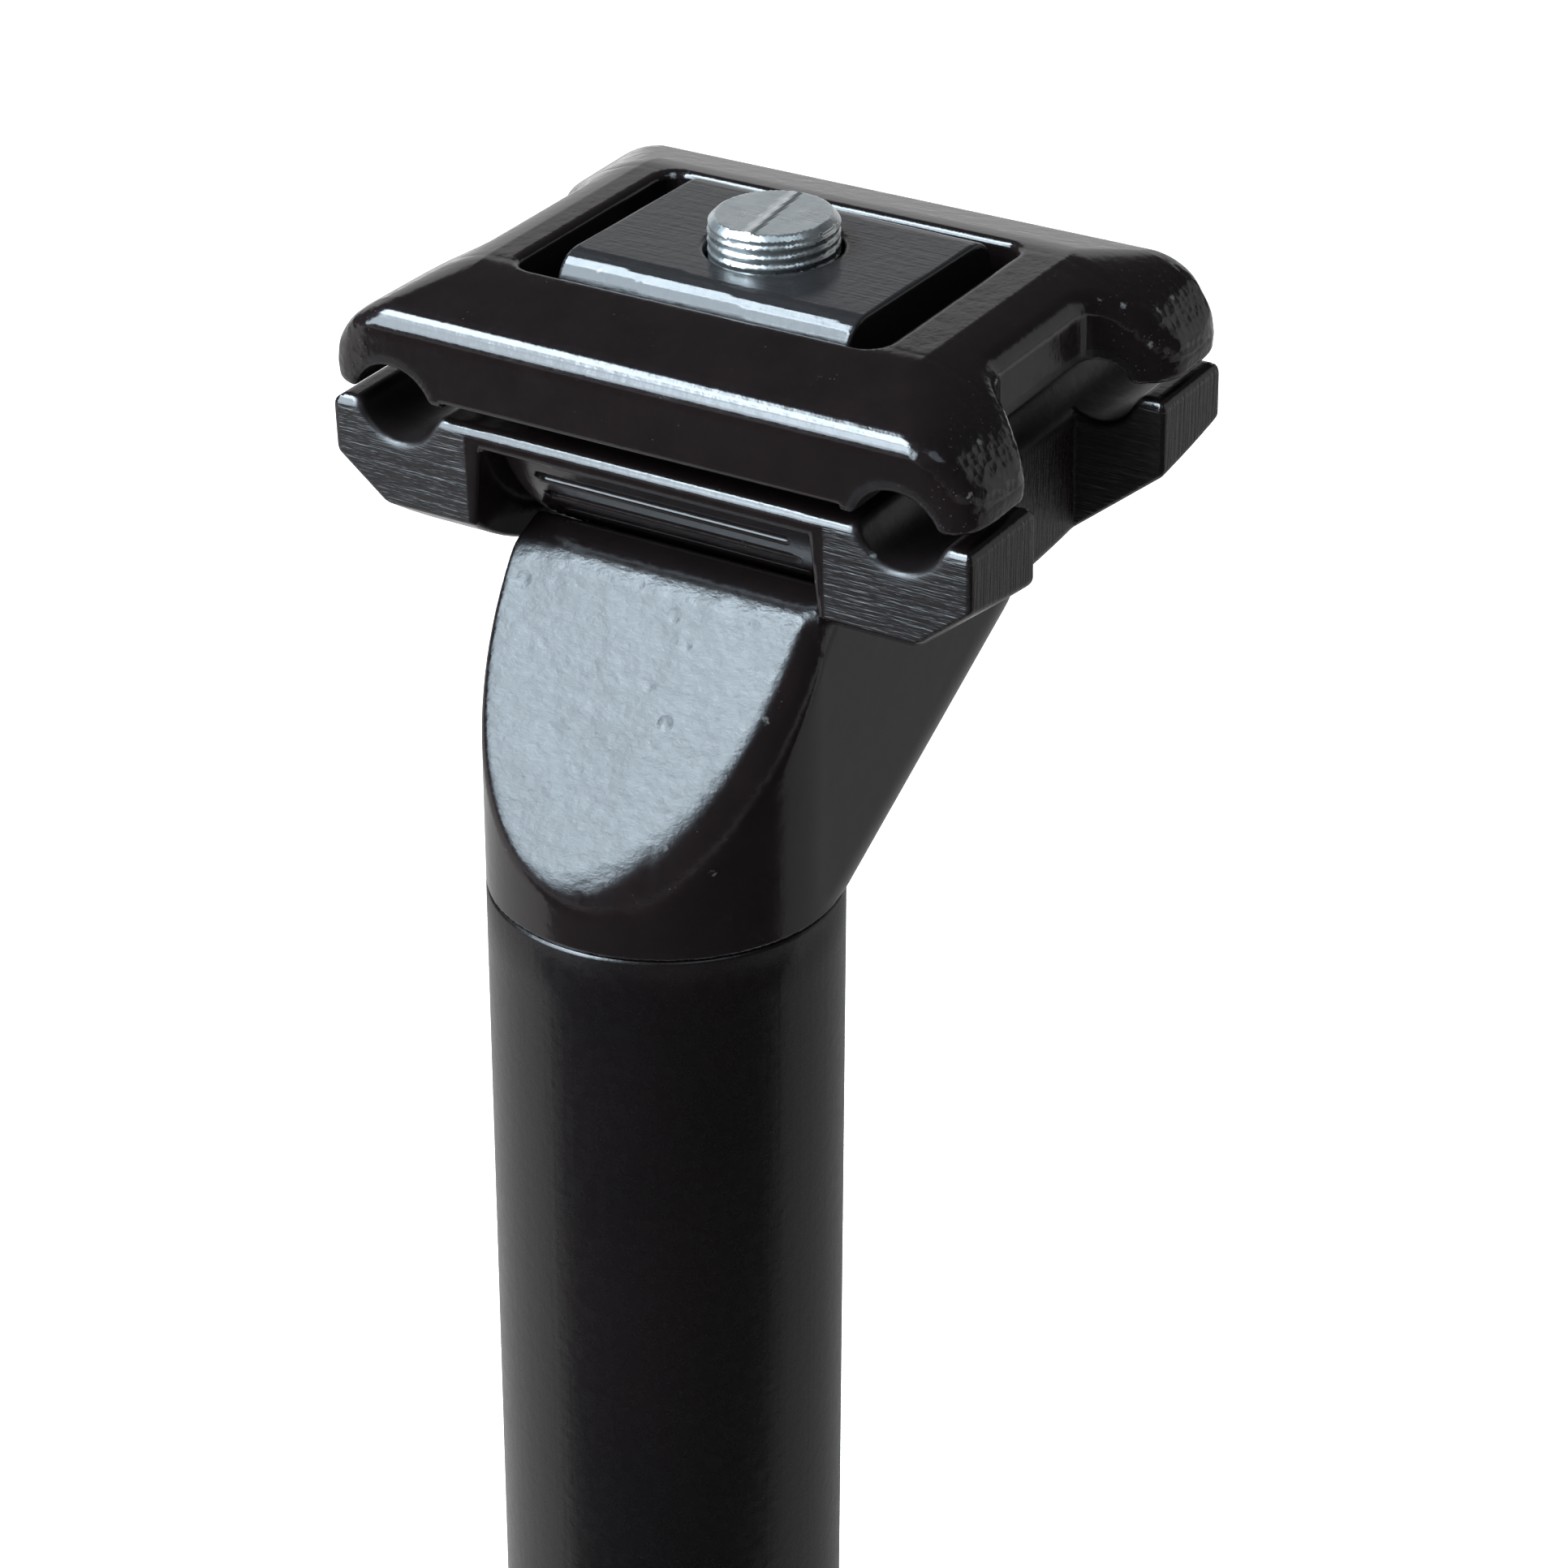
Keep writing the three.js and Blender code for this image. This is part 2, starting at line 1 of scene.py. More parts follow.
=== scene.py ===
"""Looks of a telescoping suspension seatpost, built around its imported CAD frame.

It has a painted forged head and rail clamp, a sliding tube, a threaded collar and an outer tube.
The forged and machined pieces are distance fields in millimetres, negative inside, and are meshed here.
The clamp has its own frame: u towards the front, v across, w away from the post.
The head uses x, y and the height above the seam.
"""

import math

import bpy
import numpy as np
from mathutils import Matrix, Vector


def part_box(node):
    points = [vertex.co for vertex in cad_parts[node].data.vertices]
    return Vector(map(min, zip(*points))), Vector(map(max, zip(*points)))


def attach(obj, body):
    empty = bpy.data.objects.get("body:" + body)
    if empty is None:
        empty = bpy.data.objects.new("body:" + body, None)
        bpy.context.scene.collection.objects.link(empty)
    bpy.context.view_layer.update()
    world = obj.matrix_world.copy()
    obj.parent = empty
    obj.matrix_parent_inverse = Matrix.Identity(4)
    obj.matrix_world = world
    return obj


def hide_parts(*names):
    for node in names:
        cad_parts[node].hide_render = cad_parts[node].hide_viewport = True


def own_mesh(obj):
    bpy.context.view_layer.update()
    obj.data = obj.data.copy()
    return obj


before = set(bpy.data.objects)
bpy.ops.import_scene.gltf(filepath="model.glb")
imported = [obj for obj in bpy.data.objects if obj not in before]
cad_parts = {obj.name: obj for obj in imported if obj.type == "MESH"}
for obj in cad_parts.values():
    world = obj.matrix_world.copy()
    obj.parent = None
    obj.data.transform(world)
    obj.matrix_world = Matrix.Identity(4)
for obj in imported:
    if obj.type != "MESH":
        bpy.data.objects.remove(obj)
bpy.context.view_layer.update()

MM = 0.001
SEAM_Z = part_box("stanchion")[1].z / MM
POST_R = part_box("stanchion")[1].x / MM

# ---- the clamp's frame and driving sizes, in millimetres ----
CLAMP_X = -15.6
RAILS_ABOVE_SEAM = 35.4
CLAMP_TILT = math.radians(2.7)
TILT_CENTRE_W = 4.76
BELLY_R = 18.6
TROUGH_R = 18.87
WEB_R = 25.8
RAIL_V = 21.5
GROOVE_R = 3.55
GROOVE_SHIFT = 0.4

PLATE_U = 19.3
PLATE_V = 27.9
PLATE_TOP_W = 9.5
PLATE_BOTTOM_W = 0.7
CREST_W = 7.2
WAIST_V = 22.3
WINDOW_U = 10.6
WINDOW_V = (-16.2, 15.2)
WINDOW_FLOOR_W = 4.3

BAR_U = 9.9
BAR_V = 12.7
BAR_TOP_W = 10.1
BAR_YAW = math.radians(-1.5)

CRADLE_U = 18.7
CRADLE_V = 27.35
CRADLE_TOP_W = -0.45
LUG_INNER_U = 9.6
SKIRT_V = (14.5, 20.0)
CHAMFER_W = -6.9
CHAMFER_SLOPE = 0.8

BOLT_R = 4.94
BOLT_TIP_W = 12.65
THREAD_PITCH = 0.75

CLAMP_PLACE = Matrix.Translation((CLAMP_X * MM, 0, (SEAM_Z + RAILS_ABOVE_SEAM) * MM))
CLAMP_TO_ROW = CLAMP_PLACE @ Matrix.Rotation(CLAMP_TILT, 4, "Y")
HEAD_TO_ROW = Matrix.Translation((0, 0, SEAM_Z * MM))
ROW = Matrix.Identity(4)


# ---- outlines and distance fields ----
def outline(corners, steps=6):
    """Corners are (x, y) or (x, y, radius); a radius turns the corner into an arc."""
    points = []
    count = len(corners)
    for i, corner in enumerate(corners):
        here = np.array(corner[:2], float)
        radius = corner[2] if len(corner) > 2 else 0
        if not radius:
            points.append(here)
            continue
        inward = np.array(corners[i - 1][:2], float) - here
        outward = np.array(corners[(i + 1) % count][:2], float) - here
        inward /= np.linalg.norm(inward)
        outward /= np.linalg.norm(outward)
        half = math.acos(max(-1, min(1, float(inward @ outward)))) / 2
        middle = here + (inward + outward) / np.linalg.norm(inward + outward) * radius / math.sin(half)
        start = here + inward * radius / math.tan(half) - middle
        end = here + outward * radius / math.tan(half) - middle
        sweep = math.atan2(start[0] * end[1] - start[1] * end[0], float(start @ end))
        for k in range(steps + 1):
            c, s = math.cos(sweep * k / steps), math.sin(sweep * k / steps)
            points.append(middle + (c * start[0] - s * start[1], s * start[0] + c * start[1]))
    return points


def arc(cx, cy, radius, start, end, steps):
    angles = np.radians(np.linspace(start, end, steps + 1))
    return [(cx + radius * math.cos(a), cy + radius * math.sin(a)) for a in angles]


def within(points, x, y):
    """Signed distance from (x, y) to a closed outline."""
    x, y = np.broadcast_arrays(x, y)
    nearest = np.full(x.shape, 1e9)
    inside = np.zeros(x.shape, bool)
    for (ax, ay), (bx, by) in zip(points, list(points[1:]) + [points[0]]):
        ex, ey = bx - ax, by - ay
        wx, wy = x - ax, y - ay
        t = np.clip((wx * ex + wy * ey) / max(ex * ex + ey * ey, 1e-12), 0, 1)
        nearest = np.minimum(nearest, (wx - t * ex) ** 2 + (wy - t * ey) ** 2)
        if ay != by:
            inside ^= ((ay <= y) != (by <= y)) & (x < ax + (y - ay) * ex / ey)
    return np.where(inside, -1.0, 1.0) * np.sqrt(nearest)


def both(a, b, radius):
    """What is in a and in b, with the edge between them rounded."""
    corner = np.hypot(np.maximum(a + radius, 0), np.maximum(b + radius, 0))
    return np.minimum(-radius, np.maximum(a, b)) + corner


def either(a, b, radius):
    """What is in a or in b, with a fillet between them."""
    corner = np.hypot(np.maximum(radius - a, 0), np.maximum(radius - b, 0))
    return np.maximum(radius, np.minimum(a, b)) - corner


def without(a, b, radius):
    return both(a, -b, radius)


def hexagon(x, y, half_width):
    sides = [np.abs(x * math.cos(a) + y * math.sin(a)) for a in np.radians([0, 60, 120])]
    return np.max(sides, axis=0) - half_width


def groove_fields(v, w, shift):
    return np.hypot(np.abs(v) - RAIL_V, w - shift) - GROOVE_R


# ---- meshing a field ----
def mesh_field(name, field, low, high, step, placed):
    """Surface nets on a grid, then each point is moved onto the field's true surface."""
    axes = [np.arange(lo, hi + step, step) for lo, hi in zip(low, high)]
    grid = field(axes[0][:, None, None], axes[1][None, :, None], axes[2][None, None, :])
    grid = np.broadcast_to(grid, [len(a) for a in axes])
    solid = grid < 0
    cells = [n - 1 for n in grid.shape]
    filled = np.zeros(cells, np.int8)
    for i in (0, 1):
        for j in (0, 1):
            for k in (0, 1):
                filled += solid[i : i + cells[0], j : j + cells[1], k : k + cells[2]]
    at = np.argwhere((filled > 0) & (filled < 8))
    total = np.zeros((len(at), 3))
    count = np.zeros(len(at))
    for axis in range(3):
        others = [a for a in range(3) if a != axis]
        for p in (0, 1):
            for q in (0, 1):
                a = at.copy()
                a[:, others[0]] += p
                a[:, others[1]] += q
                b = a.copy()
                b[:, axis] += 1
                fa, fb = grid[tuple(a.T)], grid[tuple(b.T)]
                cut = (fa < 0) != (fb < 0)
                point = a.astype(float)
                point[:, axis] += np.where(cut, fa / np.where(cut, fa - fb, 1), 0)
                total[cut] += point[cut]
                count[cut] += 1
    points = total / count[:, None] * step + np.array([a[0] for a in axes])
    number = np.full(cells, -1)
    number[tuple(at.T)] = np.arange(len(at))
    faces = np.concatenate([net_faces(solid, number, axis) for axis in range(3)])
    normals = settle(field, points)
    mesh = bpy.data.meshes.new(name)
    mesh.from_pydata((points * MM).tolist(), [], faces.tolist())
    mesh.polygons.foreach_set("use_smooth", np.ones(len(faces), bool))
    mesh.normals_split_custom_set_from_vertices(normals.tolist())
    mesh.transform(placed)
    return linked(name, mesh)


def net_faces(solid, number, axis):
    """A four-sided face for every grid edge along this axis that passes through the surface."""
    one, two = [(1, 2), (2, 0), (0, 1)][axis]
    here = [slice(1, -1)] * 3
    here[axis] = slice(0, -1)
    there = list(here)
    there[axis] = slice(1, None)
    first, second = solid[tuple(here)], solid[tuple(there)]
    at = np.argwhere(first != second)
    leaving = first[tuple(at.T)]
    at[:, one] += 1
    at[:, two] += 1
    quads = []
    for p, q in ((1, 1), (0, 1), (0, 0), (1, 0)):
        cell = at.copy()
        cell[:, one] -= p
        cell[:, two] -= q
        quads.append(number[tuple(cell.T)])
    quads = np.stack(quads, 1)
    quads[~leaving] = quads[~leaving][:, ::-1]
    return quads


def settle(field, points, rounds=3, nudge=0.01):
    """Moves the points onto the surface in place and returns the surface's normals there."""
    for _ in range(rounds):
        value = field(*points.T)
        slope = np.stack([(field(*(points + nudge * e).T) - value) / nudge for e in np.eye(3)], 1)
        steepness = np.maximum((slope**2).sum(1), 0.2)
        points -= slope * np.clip(value / steepness, -0.2, 0.2)[:, None]
    slope = np.stack([field(*(points + nudge * e).T) - field(*(points - nudge * e).T) for e in np.eye(3)], 1)
    return slope / np.maximum(np.linalg.norm(slope, axis=1), 1e-9)[:, None]


def linked(name, mesh):
    piece = bpy.data.objects.new(name, mesh)
    bpy.context.scene.collection.objects.link(piece)
    return piece


def turned(name, profile, segments=144, bump=None, crisp=40):
    """A profile of (radius, height) turned round the post's axis.

    bump(angle, radius, height) is added to the radius.
    """
    angles = np.linspace(0, 2 * math.pi, segments, endpoint=False)
    r = np.array([p[0] for p in profile])[:, None] + 0 * angles[None, :]
    z = np.array([p[1] for p in profile])[:, None] + 0 * angles[None, :]
    if bump:
        r = r + bump(angles[None, :], r, z)
    points = np.stack([r * np.cos(angles), r * np.sin(angles), z], -1).reshape(-1, 3) * MM
    rows, faces = len(profile), []
    for i in range(rows):
        nxt = (i + 1) % rows
        for k in range(segments):
            j = (k + 1) % segments
            faces.append((i * segments + k, i * segments + j, nxt * segments + j, nxt * segments + k))
    mesh = bpy.data.meshes.new(name)
    mesh.from_pydata(points.tolist(), [], faces)
    mesh.polygons.foreach_set("use_smooth", np.ones(len(faces), bool))
    mesh.set_sharp_from_angle(angle=math.radians(crisp))
    return linked(name, mesh)


def finer(profile, spacing):
    """The closed profile with extra points so that no step is longer than the spacing."""
    dense = []
    for (r0, z0), (r1, z1) in zip(profile, list(profile[1:]) + [profile[0]]):
        count = max(1, math.ceil(math.hypot(r1 - r0, z1 - z0) / spacing))
        dense += [(r0 + (r1 - r0) * k / count, z0 + (z1 - z0) * k / count) for k in range(count)]
    return dense


# ---- forged head ----
FACET_FOOT_Z = 4.6
HEAD_FRONT_X, HEAD_FRONT_Z, HEAD_TOP_Z = -0.2, 24.3, 25.7
NECK_FOOT_Z, NECK_END_X = 1.3, -33.9
SPIGOT_R = 11.4
POCKET_FLOOR_Z = 1.7
NECK_SLOPE = (12.8 - NECK_FOOT_Z) / (33 - POST_R)
FACET_NORMAL = np.array([HEAD_FRONT_Z - FACET_FOOT_Z, POST_R + 0.2])
FACET_NORMAL /= math.hypot(HEAD_FRONT_Z - FACET_FOOT_Z, POST_R + 0.2)
WEB_PROFILE = arc(0, TILT_CENTRE_W, WEB_R, -56, -121, 24)
WEB_PROFILE += [(-24, -17.5), (-24, -40), (12.6, -40), (14.5, -30)]


def head_field(x, y, z):
    lean = math.atan(NECK_SLOPE)
    under = -((x + POST_R) * math.sin(lean) + (z - NECK_FOOT_Z) * math.cos(lean))
    neck = both(np.abs(y) - (POST_R - 0.03), under, 6.5)
    neck = both(neck, NECK_END_X - x, 5.5)
    neck = np.maximum(neck, x)
    column = np.hypot(x, y) - (POST_R - 0.02)
    body = either(column, neck, 0.02 + 0.8 * np.clip((-x - 8) / 4, 0, 1))
    facet = (x - POST_R) * FACET_NORMAL[0] + (z - FACET_FOOT_Z) * FACET_NORMAL[1]
    body = both(body, facet, 0.6 + 1.8 * np.clip((y + 2) / 8, 0, 1))
    top = np.maximum(z - HEAD_FRONT_Z + (x - HEAD_FRONT_X) * 0.48, z - HEAD_TOP_Z)
    body = both(body, top, 0.8)
    body = both(body, -z, 0.28)
    spigot = np.maximum(np.hypot(x, y) - SPIGOT_R, np.maximum(-z - 22, z - 4))
    body = np.minimum(body, spigot)
    return clamp_cuts(body, x, y, z)


def clamp_cuts(body, x, y, z):
    """The curved trough the cradle sits in, the pocket for the bolt's head and the slot for its shank."""
    dx, dz = x - CLAMP_X, z - RAILS_ABOVE_SEAM
    c, s = math.cos(CLAMP_TILT), math.sin(CLAMP_TILT)
    u, w = dx * c - dz * s, dx * s + dz * c
    angle = np.arctan2(u, TILT_CENTRE_W - w)
    trough = np.hypot(u, w - TILT_CENTRE_W) - TROUGH_R - 0.12 * np.cos(angle * BELLY_R * 2 * math.pi / 1.3)
    body = without(body, trough, 0.5)
    pocket = both(within(WEB_PROFILE, u, w), np.abs(y) - 8.7, 1.0)
    pocket = np.maximum(pocket, POCKET_FLOOR_Z - z)
    body = without(body, pocket, 0.5)
    reach = np.maximum(np.abs(u) - 4.7, 0)
    slot = np.maximum(np.hypot(reach, y) - 5.6, POCKET_FLOOR_Z - z)
    return without(body, slot, 0.4)


# ---- rail clamp ----
PLATE_SIDE = outline([
    (PLATE_U - 0.35, -6), (PLATE_U + 0.1, CREST_W, 2.0), (10.5, PLATE_TOP_W, 9), (-10.5, PLATE_TOP_W, 9),
    (-PLATE_U - 0.1, CREST_W, 2.0), (-PLATE_U + 0.35, -6),
])
PLATE_CROSS = outline([
    (26.4, -6), (PLATE_V - 0.1, 2.2, 1.4), (27.3, 3.8, 2.9), (20.0, 12.2), (-20.0, 12.2), (-27.3, 3.8, 2.9),
    (0.1 - PLATE_V, 2.2, 1.4), (-26.4, -6),
])
PLATE_PLAN = outline([
    (PLATE_U + 1.2, -60), (PLATE_U + 1.2, PLATE_V + 1.2, 7.0), (11.9, PLATE_V + 1.2, 2.4),
    (7.2, WAIST_V, 3.2), (-60, WAIST_V), (-60, -60),
])
WINDOW_PLAN = outline([
    (WINDOW_U, WINDOW_V[0], 1.8), (WINDOW_U, WINDOW_V[1], 1.8),
    (-WINDOW_U, WINDOW_V[1], 1.8), (-WINDOW_U, WINDOW_V[0], 1.8),
])


def plate_field(u, v, w):
    plan = within(PLATE_PLAN, np.abs(u), np.abs(v))
    towards_edge = np.clip((np.abs(u) - 10) / 7, 0, 1)
    body = both(within(PLATE_SIDE, u, w), within(PLATE_CROSS, v, w), 4.5 - 2.6 * towards_edge)
    body = both(body, plan, 1.4)
    body = both(body, PLATE_BOTTOM_W - w, 0.5)
    window = np.maximum(within(WINDOW_PLAN, u, v), WINDOW_FLOOR_W - w)
    body = without(body, window, 0.75)
    relief = np.maximum(np.abs(v) - 17, w - 1.15)
    body = without(body, relief, 0.2)
    body = without(body, groove_fields(v, w, -GROOVE_SHIFT), 0.4)
    return without(body, np.hypot(u, v) - 5.6, 0.3)


BAR_SIDE = outline([
    (BAR_U, WINDOW_FLOOR_W + 0.3, 0.4), (BAR_U, BAR_TOP_W, 2.5), (-BAR_U, BAR_TOP_W, 2.5),
    (-BAR_U, WINDOW_FLOOR_W + 0.3, 0.4),
])


def bar_field(u, v, w):
    c, s = math.cos(BAR_YAW), math.sin(BAR_YAW)
    across, along = u * c + v * s, v * c - u * s
    body = both(within(BAR_SIDE, across, w), np.abs(along) - BAR_V, 0.3)
    return without(body, np.hypot(u, v) - 5.2, 0.35)


FIRST_NOTCH = math.radians(60.3)
NOTCH_PITCH = 2.5
NOTCH_R, NOTCH_DEPTH = 0.62, 0.55
BOAT_R, BOAT_LOW_W = 30.0, -14.9
BOAT_REACH = math.degrees(math.asin(CRADLE_U / BOAT_R))
CRADLE_SIDE = arc(0, BOAT_LOW_W + BOAT_R, BOAT_R, -90 - BOAT_REACH, -90 + BOAT_REACH, 24)
CRADLE_SIDE += [(CRADLE_U, 4), (-CRADLE_U, 4)]
CRADLE_CROSS = outline([
    (SKIRT_V[0] + 1.2, -16), (CRADLE_V, -16), (CRADLE_V, 4),
    (SKIRT_V[0] - 1, 4), (SKIRT_V[0] - 0.4, -2.2),
])


def cradle_field(u, v, w):
    side = within(CRADLE_SIDE, u, w)
    out = np.abs(v)
    body = both(side, within(CRADLE_CROSS, out, w), 0.35)
    chamfer = (CHAMFER_W + u**2 / 188 + CHAMFER_SLOPE * (out - CRADLE_V) - w) / math.hypot(1, CHAMFER_SLOPE)
    body = both(body, chamfer, 0.35)
    recess = np.maximum(np.abs(u) - LUG_INNER_U, SKIRT_V[1] - out)
    body = without(body, recess, 0.45)
    angle = np.arctan2(u, TILT_CENTRE_W - w)
    step = (np.abs(angle) - FIRST_NOTCH) * BELLY_R / NOTCH_PITCH
    off = np.hypot((step - np.round(step)) * NOTCH_PITCH, np.maximum(out - 10.4, 0))
    notch = NOTCH_DEPTH * np.sqrt(np.clip(1 - (off / NOTCH_R) ** 2, 0, 1))
    belly = both(np.hypot(u, w - TILT_CENTRE_W) - BELLY_R + 0.05 + notch, out - 13.45, 0.4)
    belly = np.maximum(belly, w + 0.6)
    deck = both(np.abs(u) - CRADLE_U, np.maximum(out - 16, -2.1 - w), 0.35)
    body = np.minimum(body, either(belly, deck, 0.8))
    body = both(body, w - CRADLE_TOP_W, 0.95)
    body = without(body, groove_fields(v, w, GROOVE_SHIFT), 0.6)
    return without(body, np.hypot(u, v) - 5.35, 0.3)


def bolt_field(u, v, w):
    radius = np.hypot(u, v)
    turn = w / THREAD_PITCH - np.arctan2(v, u) / (2 * math.pi)
    ridge = np.abs(turn - np.floor(turn) - 0.5) * 2
    shank = radius - BOLT_R + 0.19 * np.clip(ridge * 1.6 - 0.3, 0, 1)
    shank = np.where(w < -6, radius - BOLT_R, shank)
    shank = both(shank, w - BOLT_TIP_W, 0.12)
    cone = (radius - (BOLT_R - 0.42) + (w - BOLT_TIP_W + 0.15)) / 1.414
    shank = np.maximum(shank, cone)
    head = both(both(radius - 7.75, -31.85 - w, 0.7), w + 26.4, 0.4)
    head = without(head, np.maximum(hexagon(u, v, 3), w + 28.4), 0.25)
    return np.minimum(head, np.maximum(shank, -27 - w))


# ---- materials ----
class Nodes:
    """A short way to write a node material."""

    def __init__(self, name):
        self.material = bpy.data.materials.new(name)
        self.material.use_nodes = True
        self.tree = self.material.node_tree
        self.shader = self.tree.nodes["Principled BSDF"]
        self.place = self.add("ShaderNodeTexCoord").outputs["Object"]

    def add(self, kind, **settings):
        node = self.tree.nodes.new(kind)
        for key, value in settings.items():
            setattr(node, key, value)
        return node

    def link(self, value, socket):
        if isinstance(value, (int, float, tuple)):
            socket.default_value = value
        else:
            self.tree.links.new(value, socket)

    def math(self, operation, a, b=0.0, clamp=False):
        node = self.add("ShaderNodeMath", operation=operation, use_clamp=clamp)
        self.link(a, node.inputs[0])
        self.link(b, node.inputs[1])
        return node.outputs[0]

    def stretched(self, scale):
        node = self.add("ShaderNodeMapping")
        self.link(self.place, node.inputs["Vector"])
        node.inputs["Scale"].default_value = scale
        return node.outputs[0]

    def noise(self, per_metre, detail=4.0, rough=0.55, place=None):
        node = self.add("ShaderNodeTexNoise")
        self.link(place or self.place, node.inputs["Vector"])
        node.inputs["Scale"].default_value = per_metre
        node.inputs["Detail"].default_value = detail
        node.inputs["Roughness"].default_value = rough
        return node.outputs["Fac"]

    def cells(self, per_metre):
        node = self.add("ShaderNodeTexVoronoi")
        self.link(self.place, node.inputs["Vector"])
        node.inputs["Scale"].default_value = per_metre
        return node.outputs["Distance"]

    def ramp(self, value, *stops):
        """Stops are (position, level), with a level from 0 to 1."""
        node = self.add("ShaderNodeMapRange", clamp=True)
        (p0, v0), (p1, v1) = stops
        self.link(value, node.inputs["Value"])
        for socket, number in zip(("From Min", "From Max", "To Min", "To Max"), (p0, p1, v0, v1)):
            node.inputs[socket].default_value = number
        return node.outputs["Result"]

    def mix(self, factor, a, b):
        node = self.add("ShaderNodeMix", data_type="RGBA")
        self.link(factor, node.inputs["Factor"])
        self.link(a, node.inputs["A"])
        self.link(b, node.inputs["B"])
        return node.outputs["Result"]

    def edges(self, low, high):
        """1 on worn convex edges, 0 on flats."""
        return self.ramp(self.add("ShaderNodeNewGeometry").outputs["Pointiness"], (low, 0.0), (high, 1.0))

    def mask(self, name):
        return self.add("ShaderNodeAttribute", attribute_name=name).outputs["Fac"]

    def bump(self, height, distance, strength=1.0, below=None):
        node = self.add("ShaderNodeBump")
        self.link(height, node.inputs["Height"])
        self.link(strength, node.inputs["Strength"])
        node.inputs["Distance"].default_value = distance
        if below is not None:
            self.link(below, node.inputs["Normal"])
        return node.outputs["Normal"]

    def finish(self, colour=None, roughness=None, normal=None, **fixed):
        for value, socket in ((colour, "Base Color"), (roughness, "Roughness"), (normal, "Normal")):
            if value is not None:
                self.link(value, self.shader.inputs[socket])
        for socket, value in fixed.items():
            self.shader.inputs[socket.replace("_", " ")].default_value = value
        return self.material


def rgb(r, g, b):
    return (r, g, b, 1.0)


def painted_forging():
    """Gloss black paint over a forging: a rippled cast flat with a painted blue-grey sheen, specks, filed
    faces and rubbed edges.
    """
    n = Nodes("gloss_black_forging")
    broad, fine = n.noise(260, 3), n.noise(1500, 4, 0.6)
    tint = n.mix(broad, rgb(0.0040, 0.0026, 0.0027), rgb(0.0085, 0.0056, 0.0056))
    specks = n.ramp(n.cells(2300), (0.08, 1.0), (0.16, 0.0))
    sparse = n.ramp(n.noise(420, 2), (0.60, 0.0), (0.68, 1.0))
    cast = n.mask("cast")
    blasted = n.math("MULTIPLY", specks, n.math("MAXIMUM", sparse, n.mask("blasted"), clamp=True))
    blasted = n.math("MULTIPLY", blasted, n.math("SUBTRACT", 1.0, cast))
    worn = n.math("MULTIPLY", n.edges(0.58, 0.68), n.ramp(n.noise(900, 4, 0.7), (0.46, 0.0), (0.60, 1.0)))
    worn = n.math("MULTIPLY", worn, 0.5)
    colour = n.mix(n.math("MULTIPLY", blasted, 0.22), tint, rgb(0.16, 0.15, 0.14))
    colour = n.mix(worn, colour, rgb(0.34, 0.34, 0.33))
    # Painted sheen: on the cast facet the colour is lifted to a pale blue-grey, standing in for the cool key
    # light it mirrors.
    colour = n.mix(n.math("MULTIPLY", cast, 0.6), colour, rgb(0.012, 0.014, 0.016))
    roughness = n.ramp(fine, (0.3, 0.13), (0.75, 0.21))
    roughness = n.math("ADD", roughness, n.math("MULTIPLY", cast, 0.20))
    roughness = n.math("ADD", roughness, n.math("MULTIPLY", n.mask("groove"), 0.2))
    roughness = n.math("ADD", roughness, n.math("MULTIPLY", n.mask("filed_across"), 0.22))
    roughness = n.math("ADD", roughness, n.math("MULTIPLY", n.mask("filed_upright"), 0.12))
    peel = n.bump(n.noise(700, 3, 0.5), 0.00006, 0.45)
    grain = n.bump(fine, 0.00003, 0.5, peel)
    ripples = n.noise(760, 4, 0.6, n.stretched((0.9, 0.7, 1.3)))
    grain = n.bump(ripples, 0.00030, n.math("MULTIPLY", cast, 0.40), grain)
    grain = n.bump(n.noise(150, 2), 0.0015, n.math("MULTIPLY", cast, 0.20), grain)
    dents = n.ramp(n.cells(420), (0.10, 0.0), (0.30, 1.0))
    patches = n.ramp(n.noise(200, 2), (0.50, 0.0), (0.62, 0.7))
    grain = n.bump(dents, 0.00012, n.math("MULTIPLY", cast, patches), grain)
    pits = n.bump(n.cells(1500), 0.00007, n.math("MULTIPLY", n.mask("blasted"), 0.5), grain)
    across = n.noise(1.0, 3, 0.6, n.stretched((500, 220, 3300)))
    upright = n.noise(1.0, 3, 0.6, n.stretched((3300, 500, 160)))
    strokes = n.bump(across, 0.00022, n.math("MULTIPLY", n.mask("filed_across"), 0.8), pits)
    strokes = n.bump(upright, 0.00022, n.math("MULTIPLY", n.mask("filed_upright"), 0.8), strokes)
    return n.finish(colour, roughness, strokes, Specular_IOR_Level=0.55)


def painted_tube():
    """Satin black tube: faint drawn lines along its length and a slight brown cast."""
    n = Nodes("satin_black_tube")
    lines = n.noise(1.0, 3, 0.6, n.stretched((1500, 1500, 12)))
    broad = n.noise(60, 3)
    colour = n.mix(broad, rgb(0.0020, 0.0013, 0.0015), rgb(0.0052, 0.0030, 0.0031))
    roughness = n.ramp(n.noise(900, 4, 0.6), (0.3, 0.24), (0.75, 0.31))
    normal = n.bump(n.noise(1100, 3), 0.00005, 0.5, n.bump(lines, 0.00003, 0.5))
    return n.finish(colour, roughness, normal, Specular_IOR_Level=0.5)


